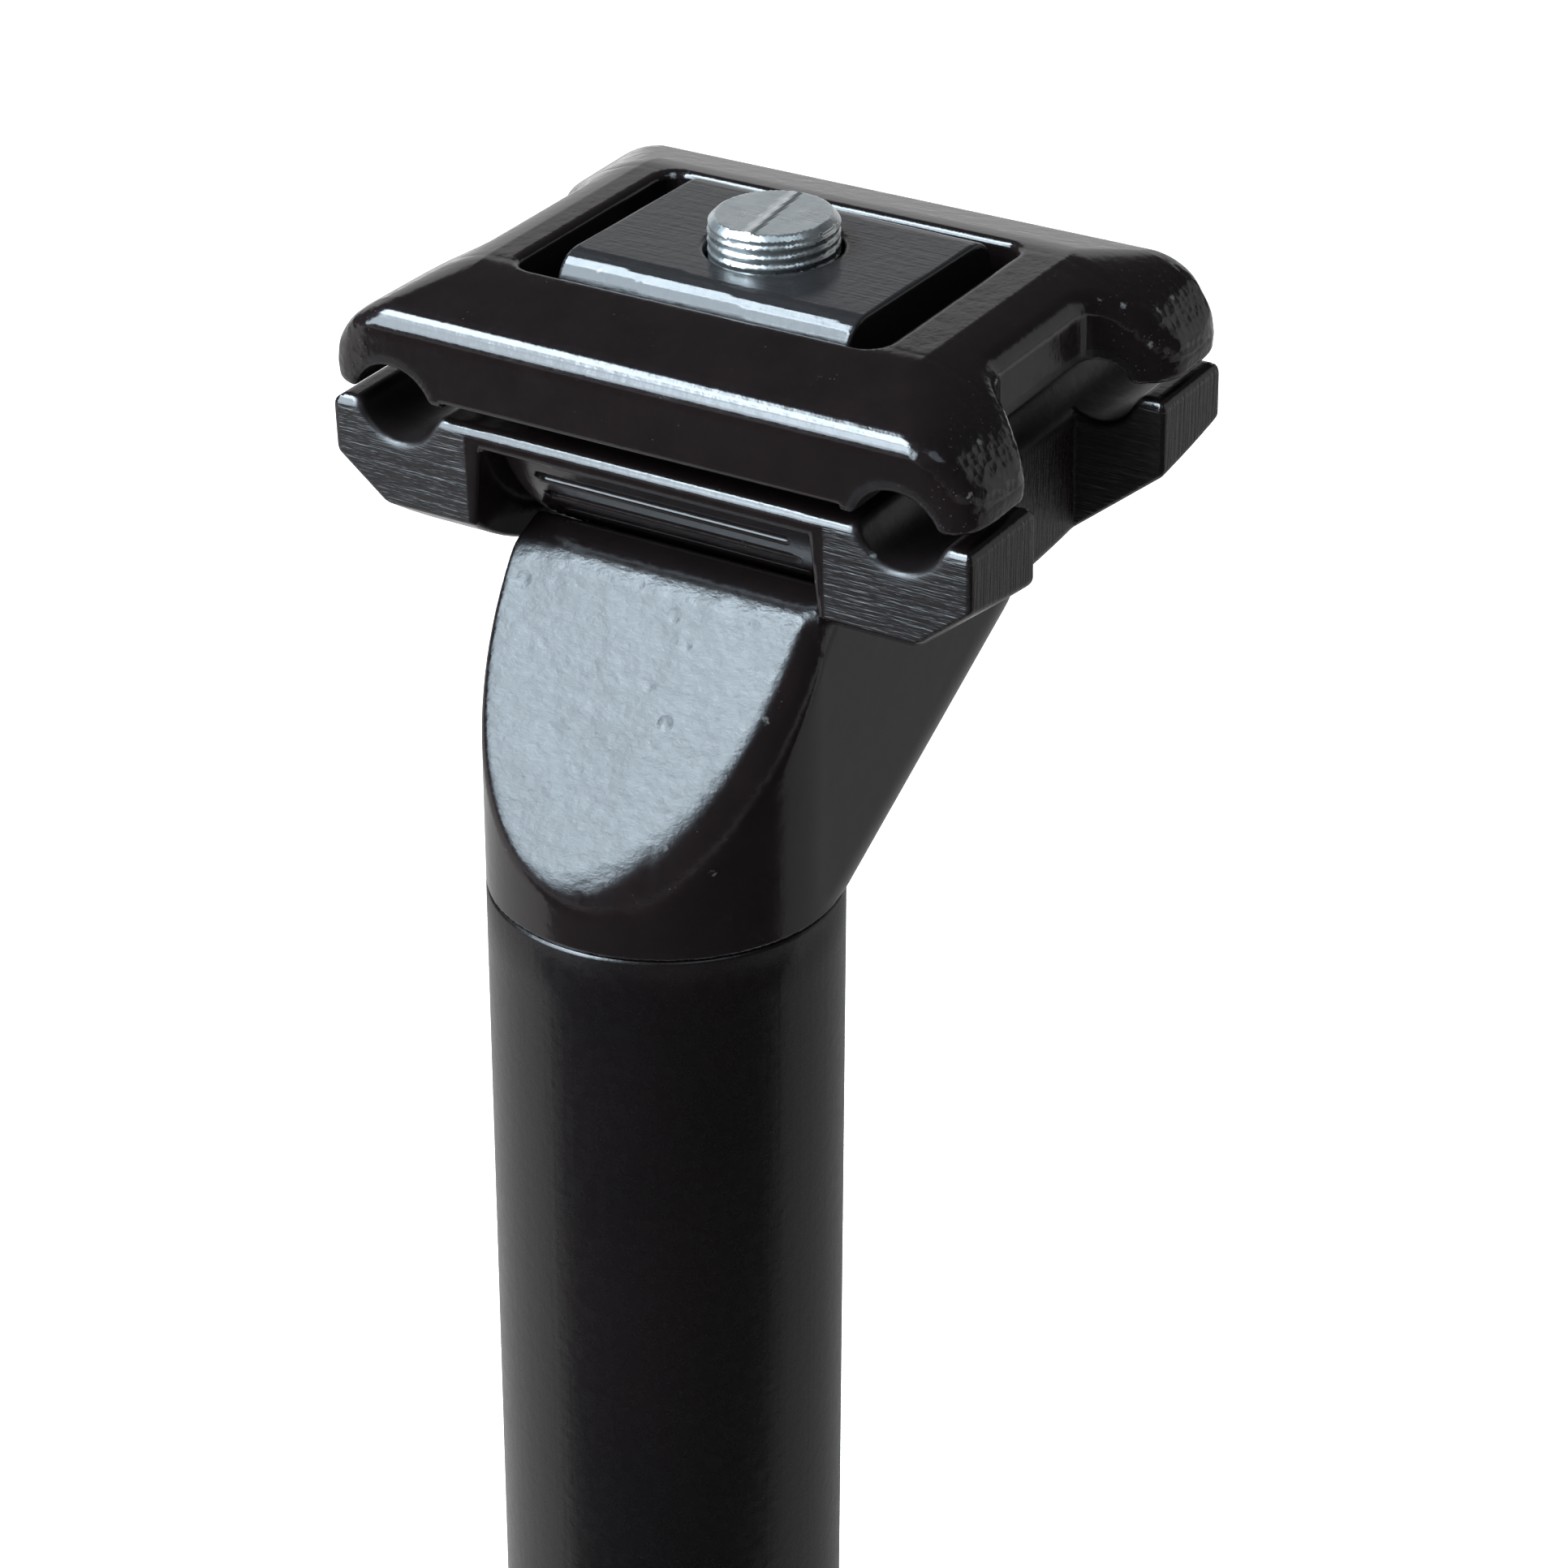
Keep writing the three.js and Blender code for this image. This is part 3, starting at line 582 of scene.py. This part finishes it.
def machined_black():
    """Blacked bar steel: smoother than the forging, with faint milling lines."""
    n = Nodes("blacked_bar")
    lines = n.noise(1.0, 3, 0.6, n.stretched((3000, 160, 600)))
    worn = n.math("MULTIPLY", n.edges(0.55, 0.66), n.ramp(n.noise(800, 3), (0.45, 0.0), (0.6, 0.8)))
    colour = n.mix(n.noise(300, 3), rgb(0.010, 0.010, 0.011), rgb(0.018, 0.016, 0.016))
    colour = n.mix(worn, colour, rgb(0.3, 0.3, 0.29))
    roughness = n.ramp(n.noise(1400, 3), (0.3, 0.17), (0.75, 0.24))
    normal = n.bump(n.noise(1300, 3), 0.00005, 0.4, n.bump(lines, 0.00004, 0.5))
    return n.finish(colour, roughness, normal, Specular_IOR_Level=0.45)


def metal(name, dark, light, low, high, grain=1200, metallic=0.95):
    """Plated or bare metal with a cloudy bloom, fine scratches and painted shade darkening the recesses."""
    n = Nodes(name)
    cloud = n.ramp(n.noise(grain, 4, 0.65), (0.32, 0.0), (0.72, 1.0))
    # Painted shade: the bloom is kept off concave spots, so recesses stay at the dark colour.
    out_of_painted_shade = n.ramp(n.add("ShaderNodeNewGeometry").outputs["Pointiness"], (0.42, 0.0), (0.52, 1.0))
    colour = n.mix(n.math("MULTIPLY", cloud, out_of_painted_shade), dark, light)
    colour = n.mix(n.math("MULTIPLY", n.mask("mark"), 0.7), colour, rgb(0.92, 0.93, 0.93))
    scratches = n.noise(1.0, 2, 0.7, n.stretched((5200, 500, 1600)))
    roughness = n.ramp(n.noise(grain * 0.7, 4), (0.3, low), (0.75, high))
    normal = n.bump(scratches, 0.00004, 0.5, n.bump(n.noise(grain * 1.5, 3), 0.00004, 0.4))
    normal = n.bump(n.mask("mark"), 0.0003, 1.0, normal)
    return n.finish(colour, roughness, normal, Metallic=metallic)


def moulded(name, dark, light, low, high, grain=1600, depth=0.00006, specular=0.4):
    """Rubber, acetal or elastomer with a moulded grain and dust."""
    n = Nodes(name)
    colour = n.mix(n.ramp(n.noise(grain * 0.4, 4, 0.7), (0.35, 0.0), (0.7, 1.0)), dark, light)
    roughness = n.ramp(n.noise(grain * 0.6, 3), (0.3, low), (0.7, high))
    normal = n.bump(n.noise(grain, 3), depth, 0.6)
    return n.finish(colour, roughness, normal, Specular_IOR_Level=specular)


FORGED = painted_forging()
TUBE = painted_tube()
BAR = machined_black()
ZINC = metal("zinc_plate", rgb(0.52, 0.55, 0.55), rgb(0.72, 0.75, 0.76), 0.24, 0.36, 500)
STEEL = metal("turned_steel", rgb(0.22, 0.22, 0.23), rgb(0.48, 0.49, 0.50), 0.24, 0.4, 900)
SPRING = metal("oiled_spring_steel", rgb(0.03, 0.03, 0.035), rgb(0.12, 0.12, 0.13), 0.25, 0.45, 1500, 0.8)
RUBBER = moulded(
    "black_rubber", rgb(0.010, 0.010, 0.010), rgb(0.028, 0.027, 0.026), 0.6, 0.85, 1300, 0.0001, 0.3
)
ACETAL = moulded("black_acetal", rgb(0.014, 0.014, 0.015), rgb(0.03, 0.03, 0.032), 0.4, 0.55)
ELASTOMER = moulded("amber_elastomer", rgb(0.30, 0.13, 0.04), rgb(0.46, 0.23, 0.08), 0.45, 0.65, 900)

SLOTS = {
    "forged_black": FORGED, "tube_black": TUBE, "bar_black": BAR, "zinc": ZINC, "plain_steel": STEEL,
    "spring_steel": SPRING, "rubber": RUBBER, "acetal": ACETAL, "elastomer": ELASTOMER,
}


def dress(piece, node, body, slot):
    """Gives a piece its material and body; it stands for that CAD node."""
    piece.data.materials.clear()
    piece.data.materials.append(SLOTS[slot])
    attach(piece, body)
    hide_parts(node)
    return piece


def paint_mask(piece, name, test):
    """Stores test(points, normals), from 0 to 1, on every vertex. Points are in millimetres."""
    mesh = piece.data
    count = len(mesh.vertices)
    points, normals = np.empty(count * 3), np.empty(count * 3)
    mesh.vertices.foreach_get("co", points)
    mesh.vertices.foreach_get("normal", normals)
    value = np.clip(test(points.reshape(-1, 3) / MM, normals.reshape(-1, 3)), 0, 1)
    mesh.attributes.new(name, "FLOAT", "POINT").data.foreach_set("value", value.astype(np.float32))


# ---- head and rail clamp pieces ----
def make_head():
    head = mesh_field("head_forging", head_field, (-35, -14.2, -22.6), (14.5, 14.2, 27), 0.34, HEAD_TO_ROW)
    normal = np.array([FACET_NORMAL[0], 0, FACET_NORMAL[1]])
    # The cast facet: ripples, extra roughness and a painted blue-grey sheen in its colour.
    paint_mask(head, "cast", lambda p, n: ((n @ normal) - 0.94) / 0.04 * (p[:, 2] > SEAM_Z))
    return dress(head, "seat_head", "slider", "forged_black")


def groove_mask(p, n):
    """1 inside the four rail grooves, which have only a thin dull coat."""
    height = p[:, 2] - SEAM_Z - RAILS_ABOVE_SEAM + (p[:, 0] - CLAMP_X) * math.tan(CLAMP_TILT)
    return (GROOVE_R + 0.7 - np.hypot(np.abs(p[:, 1]) - RAIL_V, height)) / 0.3


def make_plate():
    reach = (PLATE_U + 0.6, PLATE_V + 0.6)
    low, high = (-reach[0], -reach[1], 0), (*reach, PLATE_TOP_W + 0.8)
    plate = mesh_field("clamp_plate_upper", plate_field, low, high, 0.29, CLAMP_TO_ROW)
    paint_mask(plate, "blasted", lambda p, n: (np.abs(p[:, 1]) - 22) / 2)
    paint_mask(plate, "groove", groove_mask)
    return dress(plate, "upper_clamp_plate", "clamp_top", "forged_black")


def make_cradle():
    low, high = (-CRADLE_U - 0.5, -CRADLE_V - 0.5, -15.6), (CRADLE_U + 0.5, CRADLE_V + 0.5, 0.4)
    cradle = mesh_field("clamp_cradle_lower", cradle_field, low, high, 0.29, CLAMP_TO_ROW)
    lug = lambda p: np.abs(p[:, 1]) > SKIRT_V[0] + 1
    paint_mask(cradle, "filed_across", lambda p, n: (np.abs(n[:, 0]) - 0.9) / 0.05 * lug(p))
    paint_mask(cradle, "filed_upright", lambda p, n: (np.abs(n[:, 1]) - 0.9) / 0.05 * lug(p))
    paint_mask(cradle, "groove", groove_mask)
    return dress(cradle, "lower_cradle", "clamp_base", "forged_black")


def make_bar():
    low, high = (-10.8, -13.6, 4.2), (10.8, 13.6, 10.6)
    bar = mesh_field("clamp_cross_bar", bar_field, low, high, 0.24, CLAMP_TO_ROW)
    return dress(bar, "clamp_nut_bar", "clamp_top", "bar_black")


def bolt_mark(p, n):
    """A shallow scribed line across the flat end."""
    across = (p[:, 0] - CLAMP_X) * 0.126 - p[:, 1] * 0.992 - 0.2
    return (1.5 - np.abs(across) / 0.36) * (n[:, 2] > 0.98)


def make_bolt():
    low, high = (-8.3, -8.3, -32.4), (8.3, 8.3, 13.2)
    bolt = mesh_field("clamp_bolt_threaded", bolt_field, low, high, 0.22, CLAMP_TO_ROW)
    paint_mask(bolt, "mark", bolt_mark)
    return dress(bolt, "clamp_bolt", "clamp_screw", "zinc")


# ---- turned pieces ----
def ring_profile(inner, outer, low, high, edge=0.25):
    return [
        (inner, low + edge), (inner + edge, low), (outer - edge, low), (outer, low + edge),
        (outer, high - edge), (outer - edge, high), (inner + edge, high), (inner, high - edge),
    ]


def make_stanchion():
    foot, top = (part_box("stanchion")[0].z / MM, SEAM_Z)
    profile = [
        (11.5, foot), (12.7, foot), (13.0, foot + 0.3), (13.0, 171), (POST_R - 0.3, 171), (POST_R, 171.3),
        (POST_R, top - 0.3), (POST_R - 0.12, top - 0.08), (POST_R - 0.3, top), (11.5, top),
    ]
    tube = turned("sliding_tube", finer(profile, 4), 192)
    return dress(tube, "stanchion", "slider", "tube_black")


def make_outer_tube():
    outer, shoulder, thread, bore, head_bore = 15.8, 18.2, 16.8, 14.4, 14.7
    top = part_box("outer_tube")[1].z / MM
    profile = [
        (15.3, 0), (15.65, 0.15), (outer, 0.6), (outer, 212), (outer + 0.15, 212.6), (17.9, 216.4),
        (shoulder, 217.1), (shoulder, 225.6), (shoulder - 0.4, 226), (thread, 226), (thread, top - 0.8),
        (thread - 0.8, top), (head_bore, top), (head_bore, 178), (bore, 178), (bore, 3), (15, 3),
        (15, 1.4), (bore, 1.4), (bore, 0.3), (bore + 0.3, 0),
    ]

    def rings(angle, r, z):
        line = np.abs(((z - 92) / 6.0 + 0.5) % 1 - 0.5) * 6.0
        marked = (r > outer - 0.05) & (z > 89) & (z < 119)
        return np.where(marked, -0.10 * np.clip(1.2 - line / 0.22, 0, 1), 0)

    band = [(outer, z) for z in np.arange(88, 120, 0.15)]
    profile = profile[:3] + band + profile[3:]
    tube = turned("outer_tube_shell", profile, 192, rings, 30)
    return dress(tube, "outer_tube", "casing", "tube_black")


def make_collar():
    low, high = (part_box("collar_nut")[i].z / MM for i in (0, 1))
    radius = 19.6
    profile = [
        (16.9, low), (radius - 0.9, low), (radius, low + 0.9), (radius, low + 3), (radius, high - 5),
        (radius, high - 3.2), (radius - 0.5, high - 2.2), (radius - 2.3, high - 0.2), (radius - 2.7, high),
        (16.7, high), (16.5, high - 0.2), (16.5, 243), (13.9, 243), (13.9, 241), (16.9, 241),
    ]

    def grip(angle, r, z):
        inside = np.clip((z - low - 2.4) / 0.6, 0, 1) * np.clip((high - 4.6 - z) / 0.6, 0, 1)
        inside = inside * (r > radius - 0.5)
        one = np.abs(((angle * 30 / math.pi + z * 0.55) % 1) - 0.5)
        two = np.abs(((angle * 30 / math.pi - z * 0.55) % 1) - 0.5)
        return -0.42 * inside * np.clip(1 - np.minimum(one, two) * 4.2, 0, 1)

    collar = turned("collar_nut_knurled", finer(profile, 0.3), 720, grip, 50)
    return dress(collar, "collar_nut", "casing", "forged_black")


def make_wiper():
    inner = POST_R + 0.06
    profile = [
        (inner, 243.1), (16.4, 243.1), (16.4, 245.5), (16.1, 245.85), (15.3, 246.1), (14.9, 246.5),
        (14.4, 247.1), (14.1, 247.2), (inner + 0.1, 247.1), (inner, 246.8), (inner + 0.25, 246.2),
        (inner, 245.4),
    ]
    wiper = turned("wiper_lip", profile, 144, crisp=60)
    return dress(wiper, "wiper_seal", "casing", "rubber")


def make_plug():
    bore = 14.2

    def field(x, y, z):
        radius = np.hypot(x, y)
        body = both(radius - bore, np.abs(z - 11.5) - 8.3, 0.6)
        body = without(body, np.maximum(12.8 - radius, np.abs(z - 15.2) - 1.0), 0.15)
        body = without(body, np.maximum(radius - 3.1, 12.5 - z), 0.2)
        body = without(body, np.maximum(hexagon(x, y, 4), z - 10), 0.3)
        rings = 0.06 * np.cos(radius * 2 * math.pi / 1.1) * np.clip((5 - z) / 1.5, 0, 1)
        return body + rings * np.clip((radius - 5.5) / 0.5, 0, 1)

    plug = mesh_field("preload_plug_body", field, (-14.8, -14.8, 2.6), (14.8, 14.8, 20.4), 0.4, ROW)
    return dress(plug, "preload_plug", "preload_screw", "plain_steel")


def make_circlip():
    def field(x, y, z):
        radius = np.hypot(x, y)
        band = both(np.abs(radius - 13.75) - 1.1, np.abs(z - 2.2) - 0.55, 0.15)
        band = without(band, np.abs(y) - 3.6 + 100 * (x < 0), 0.2)
        ear = both(np.hypot(x - 12.2, np.abs(y) - 4.9) - 1.6, np.abs(z - 2.2) - 0.55, 0.15)
        ear = without(ear, np.hypot(x - 12.0, np.abs(y) - 4.9) - 0.75, 0.1)
        return np.minimum(band, ear)

    clip = mesh_field("plug_circlip", field, (-15.2, -15.2, 1.3), (15.2, 15.2, 3.1), 0.24, ROW)
    return dress(clip, "plug_retaining_ring", "casing", "spring_steel")


RINGS = [
    # piece, CAD node, body, slot, inner radius
    ("upper_guide_bush", "upper_bushing", "casing", "acetal", 13.65),
    ("lower_guide_bush", "lower_bushing", "slider", "acetal", 13.05),
    ("top_out_ring", "top_out_bumper", "slider", "rubber", 13.65),
    ("plug_seal_ring", "plug_o_ring", "preload_screw", "rubber", 12.9),
    ("spring_seat_lower", "lower_spring_washer", "preload_stack", "plain_steel", 6.5),
    ("spring_seat_upper", "upper_spring_washer", "slider", "plain_steel", 7.2),
    ("bottom_out_spacer", "bottom_out_bumper", "preload_stack", "elastomer", 3.2),
    ("collar_seal_ring", "collar_o_ring", "casing", "rubber", 16.9),
]


def make_rings():
    for name, node, body, slot, inner in RINGS:
        low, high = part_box(node)
        outer, bottom, top = high.x / MM, low.z / MM, high.z / MM
        edge = min(0.3, (top - bottom) / 4, (outer - inner) / 4)
        dress(turned(name, finer(ring_profile(inner, outer, bottom, top, edge), 1.5), 96), node, body, slot)


def make_spring():
    """The coil, finer than the CAD one, with closed ends.

    It is a rigid piece.
    """
    low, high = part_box("main_spring")
    mean, turns, steps, sides = 11.2, 15.5, 620, 14
    wire = high.x / MM - mean
    start, end, rise = low.z / MM + wire, high.z / MM - wire, 2.05 * wire
    turn = np.linspace(0, turns, steps)[:, None]
    height = np.interp(turn, [0, 1, turns - 1, turns], [start, start + rise, end - rise, end])
    angle, around = turn * 2 * math.pi, np.linspace(0, 2 * math.pi, sides, endpoint=False)[None, :]
    radius = mean + wire * np.cos(around)
    points = np.stack([radius * np.cos(angle), radius * np.sin(angle), height + wire * np.sin(around)], -1)
    points = points.reshape(-1, 3) * MM
    faces = [tuple(range(sides)), tuple((steps - 1) * sides + k for k in reversed(range(sides)))]
    for i in range(steps - 1):
        for k in range(sides):
            j = (k + 1) % sides
            faces.append((i * sides + k, (i + 1) * sides + k, (i + 1) * sides + j, i * sides + j))
    mesh = bpy.data.meshes.new("coil_spring")
    mesh.from_pydata(points.tolist(), [], faces)
    mesh.polygons.foreach_set("use_smooth", np.ones(len(faces), bool))
    mesh.set_sharp_from_angle(angle=math.radians(50))
    spring = dress(linked("coil_spring", mesh), "main_spring", "casing", "spring_steel")
    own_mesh(spring)


def keep_cad_nodes():
    """The remaining inner CAD nodes show as they are, with softened edges and their own material."""
    slots = {
        "stop_sleeve": "plain_steel", "slide_key_right": "plain_steel", "slide_key_left": "plain_steel",
        "guide_pin": "plain_steel", "foot_plug": "plain_steel", "saddle_washer": "plain_steel",
        "bolt_washer": "zinc",
    }
    for node, slot in slots.items():
        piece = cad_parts[node]
        piece.data.materials.clear()
        piece.data.materials.append(SLOTS[slot])
        smooth = piece.modifiers.new("soft_edges", "BEVEL")
        smooth.width = 0.15 * MM
        smooth.segments = 2
        smooth.limit_method = "ANGLE"
        smooth.angle_limit = math.radians(35)
        smooth.harden_normals = False


# ---- studio ----
def make_floor():
    """The white floor. Reflections see the cards on it instead."""
    bpy.ops.mesh.primitive_grid_add(x_subdivisions=8, y_subdivisions=8, size=8)
    floor = bpy.context.object
    floor.name = "studio_floor"
    n = Nodes("pale_floor")
    colour = n.mix(n.noise(3, 2), rgb(0.93, 0.93, 0.93), rgb(0.95, 0.95, 0.95))
    glow = {"Specular_IOR_Level": 0.0, "Emission_Color": rgb(1, 1, 1), "Emission_Strength": 1.0}
    floor.data.materials.append(n.finish(colour, 0.9, **glow))
    floor.visible_glossy = False


def make_card(name, azimuth, reach, size, level, height):
    """A card lying on the floor and seen only in reflections. Its level is its brightness, white being 1."""
    bpy.ops.mesh.primitive_grid_add(x_subdivisions=2, y_subdivisions=2, size=1)
    card = bpy.context.object
    card.name = name
    card.scale = (*size, 1)
    card.location = (reach * math.cos(azimuth), reach * math.sin(azimuth), height)
    card.rotation_euler = (0, 0, azimuth)
    n = Nodes(name + "_cloth")
    colour = n.mix(n.noise(40), rgb(0.02, 0.02, 0.02), rgb(0.03, 0.03, 0.03))
    glow = {"Specular_IOR_Level": 0.0, "Emission_Color": rgb(1, 1, 1), "Emission_Strength": level}
    card.data.materials.append(n.finish(colour, 0.9, **glow))
    card.visible_camera = card.visible_diffuse = card.visible_shadow = card.visible_transmission = False


def make_cards():
    make_card("studio_card_white", 0, 0, (8, 8), 0.62, 0.001)
    make_card("studio_card_right", math.radians(150), 0.75, (1.1, 0.9), 0.30, 0.002)
    make_card("studio_card_front", CAMERA_AZIMUTH, 1.42, (2.6, 3.4), 0.0, 0.003)


def softbox(name, target, direction, distance, size, radiance, tint=(1, 1, 1)):
    """A rectangular lamp that looks at the target, as bright as a wall of that radiance."""
    power = radiance * math.pi * size[0] * size[1]
    data = bpy.data.lights.new(name, "AREA")
    data.shape = "RECTANGLE"
    data.size, data.size_y = size
    data.energy = power
    data.color = tint
    lamp = bpy.data.objects.new(name, data)
    bpy.context.scene.collection.objects.link(lamp)
    away = Vector(direction).normalized()
    lamp.location = Vector(target) + away * distance
    lamp.rotation_euler = away.to_track_quat("Z", "Y").to_euler()
    lamp.visible_camera = False


CAMERA_AZIMUTH = math.radians(31.93)      # from +X towards +Y
CAMERA_ELEVATION = math.radians(27.40)
CAMERA_DISTANCE = 0.3285
CAMERA_ROLL = math.radians(0.19)
FIELD_OF_VIEW = math.radians(20.20)


def make_camera():
    azimuth, elevation = CAMERA_AZIMUTH, CAMERA_ELEVATION
    level = math.cos(elevation)
    back = Vector((level * math.cos(azimuth), level * math.sin(azimuth), math.sin(elevation)))
    right = Vector((-math.sin(azimuth), math.cos(azimuth), 0))
    aim = Vector((0, 0, (SEAM_Z + 7.65) * MM)) + right * 8.84 * MM
    camera = bpy.data.objects.new("camera", bpy.data.cameras.new("camera"))
    camera.data.sensor_width = 36
    camera.data.angle = FIELD_OF_VIEW
    camera.data.clip_start, camera.data.clip_end = 0.01, 20
    up = back.cross(right)
    turn = Matrix((right, up, back)).transposed() @ Matrix.Rotation(CAMERA_ROLL, 3, "Z")
    camera.matrix_world = Matrix.Translation(aim + back * CAMERA_DISTANCE) @ turn.to_4x4()
    bpy.context.scene.collection.objects.link(camera)
    bpy.context.scene.camera = camera


def make_lights():
    centre = (CLAMP_X * MM, 0, (SEAM_Z + 20) * MM)
    cool = (0.75, 0.89, 1.0)
    softbox("key_front_left", centre, (0.70, -0.47, 0.46), 0.8, (0.62, 0.62), 10.5, cool)
    softbox("key_core", centre, (0.79, -0.363, 0.515), 0.78, (0.24, 0.24), 9.0, cool)
    softbox("strip_high", centre, (0.35, -0.47, 0.81), 0.8, (0.60, 0.22), 26.0, cool)
    softbox("wall_back_left", centre, (-0.84, -0.52, 0.16), 1.1, (1.5, 0.8), 0.6)
    softbox("wall_back_right", centre, (-0.80, 0.60, 0.22), 1.2, (0.9, 0.6), 0.45)
    softbox("overhead", centre, (0.30, 0.60, 1.0), 1.0, (0.5, 0.4), 1.4, cool)
    world = bpy.data.worlds.new("studio")
    bpy.context.scene.world = world
    world.use_nodes = True
    world.node_tree.nodes["Background"].inputs["Color"].default_value = rgb(0.9, 0.95, 1.0)
    world.node_tree.nodes["Background"].inputs["Strength"].default_value = 0.06


make_head()
make_plate()
make_cradle()
make_bar()
make_bolt()
make_stanchion()
make_outer_tube()
make_collar()
make_wiper()
make_plug()
make_circlip()
make_rings()
make_spring()
keep_cad_nodes()
make_floor()
make_cards()
make_lights()
make_camera()
bpy.context.scene.view_settings.view_transform = "Standard"
